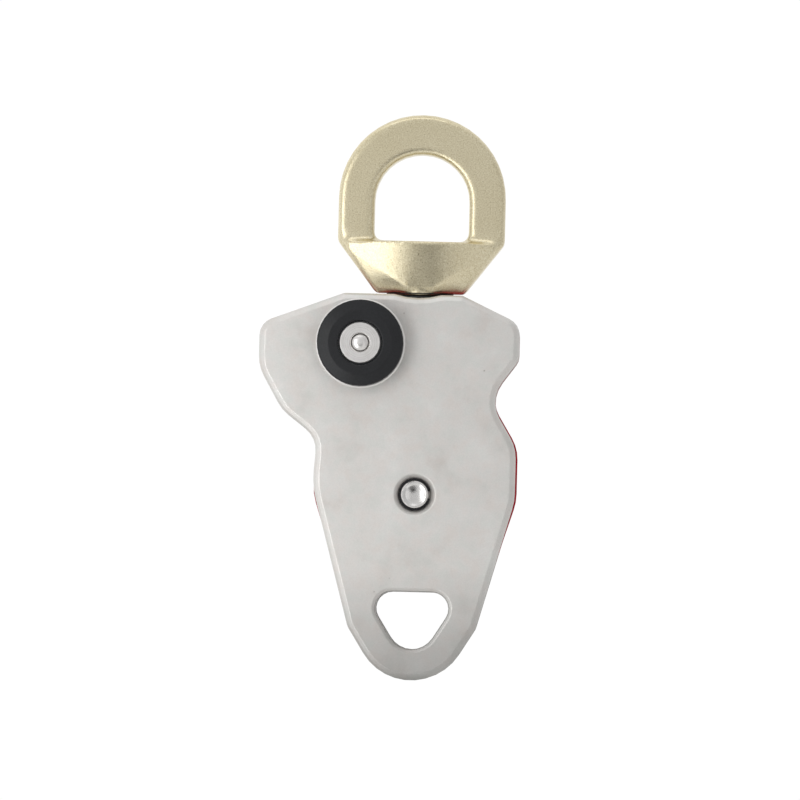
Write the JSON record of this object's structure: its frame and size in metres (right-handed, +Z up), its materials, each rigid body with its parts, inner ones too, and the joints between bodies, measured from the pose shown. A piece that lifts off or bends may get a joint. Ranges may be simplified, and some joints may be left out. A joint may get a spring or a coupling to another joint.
{
  "type": "rope pulley",
  "caption": "Swivel rope pulley with two cheek plates round a grooved sheave, a swivel eye on top, a lower eye, and a front cheek that swings open when its lock knob is pulled.",
  "frame": {"origin": "crown of the swivel eye's opening, where the block hangs", "axes": "+Z up along the swivel's axis, -Y out of the front cheek with the knob, X across the cheeks"},
  "size_m": [0.087, 0.04, 0.1889],
  "materials": {
    "champagne_gold": "bead-blasted champagne gold anodising",
    "tumbled_steel": "tumbled, satin, faintly mottled",
    "red_anodised": "red anodised, satin",
    "hard_anodised": "hard anodised grey",
    "polished_steel": "turned and polished stainless steel",
    "spring_steel": "drawn spring steel",
    "bronze": "bearing bronze",
    "black_polymer": "matte black moulded polymer"
  },
  "bodies": {
    "swivel": {"swivel_eye": "champagne_gold", "swivel_nut": "polished_steel", "swivel_nut_pin": "spring_steel", "swivel_washer": "black_polymer"},
    "frame": {"rear_plate": "tumbled_steel", "core_body": "red_anodised", "becket_block": "tumbled_steel", "core_screw_1": "polished_steel", "core_screw_2": "polished_steel", "core_screw_3": "polished_steel", "becket_screw_1": "polished_steel", "becket_screw_2": "polished_steel", "swivel_bush": "bronze", "thrust_washer_upper": "bronze", "thrust_washer_lower": "bronze", "axle": "polished_steel", "axle_snap_ring": "spring_steel", "cheek_washer": "black_polymer", "axle_spacer_front": "polished_steel", "axle_spacer_rear": "polished_steel", "bearing_inner_ring": "polished_steel", "lock_receiver": "polished_steel", "receiver_screw": "polished_steel"},
    "sheave": {"sheave": "hard_anodised", "bearing_outer_ring": "polished_steel", "bearing_shield_front": "polished_steel", "bearing_shield_rear": "polished_steel", "bearing_snap_ring": "spring_steel"},
    "ball_cage": {"bearing_cage": "bronze", "bearing_ball_1": "polished_steel", "bearing_ball_2": "polished_steel", "bearing_ball_3": "polished_steel", "bearing_ball_4": "polished_steel", "bearing_ball_5": "polished_steel", "bearing_ball_6": "polished_steel", "bearing_ball_7": "polished_steel", "bearing_ball_8": "polished_steel", "bearing_ball_9": "polished_steel"},
    "front_cheek": {"front_plate": "tumbled_steel", "lock_housing": "polished_steel", "lock_spring": "spring_steel"},
    "lock_plunger": {"lock_pin": "polished_steel", "lock_knob": "black_polymer", "button_spring": "spring_steel"},
    "button": {"release_button": "polished_steel", "release_stem": "polished_steel"},
    "upper_lock_ball": {"lock_ball_upper": "polished_steel"},
    "lower_lock_ball": {"lock_ball_lower": "polished_steel"}
  },
  "joints": [
    {"name": "swivel_turn", "type": "hinge", "parent": "swivel", "child": "frame", "pos_m": [0, 0, -0.0477], "axis": [0, 0, 1], "continuous": true},
    {"name": "sheave_spin", "type": "hinge", "parent": "frame", "child": "sheave", "pos_m": [0, 0, -0.1137], "axis": [0, 1, 0], "continuous": true},
    {"name": "cage_spin", "type": "hinge", "parent": "frame", "child": "ball_cage", "pos_m": [0, 0, -0.1137], "axis": [0, 1, 0], "continuous": true},
    {"name": "cheek_swing", "type": "hinge", "parent": "frame", "child": "front_cheek", "pos_m": [0, 0, -0.1137], "axis": [0, -1, 0], "range_deg": [0, 120]},
    {"name": "knob_pull", "type": "slide", "parent": "front_cheek", "child": "lock_plunger", "axis": [0, -1, 0], "range_m": [0, 0.0056], "stiffness_N_per_m": 600, "springref_m": -0.004, "deforming": ["lock_spring"]},
    {"name": "button_press", "type": "slide", "parent": "lock_plunger", "child": "button", "axis": [0, 1, 0], "range_m": [0, 0.0018], "stiffness_N_per_m": 400, "springref_m": -0.002, "deforming": ["button_spring"]},
    {"name": "upper_ball_slide", "type": "slide", "parent": "lock_plunger", "child": "upper_lock_ball", "axis": [0, 0, -1], "range_m": [0, 0.0006]},
    {"name": "lower_ball_slide", "type": "slide", "parent": "lock_plunger", "child": "lower_lock_ball", "axis": [0, 0, 1], "range_m": [0, 0.0006]}
  ],
  "couplings": [
    {"joint": "cage_spin", "follows": "sheave_spin", "ratio": 0.6178},
    {"joint": "upper_ball_slide", "follows": "button_press", "ratio": 0.3333},
    {"joint": "lower_ball_slide", "follows": "button_press", "ratio": 0.3333}
  ]
}
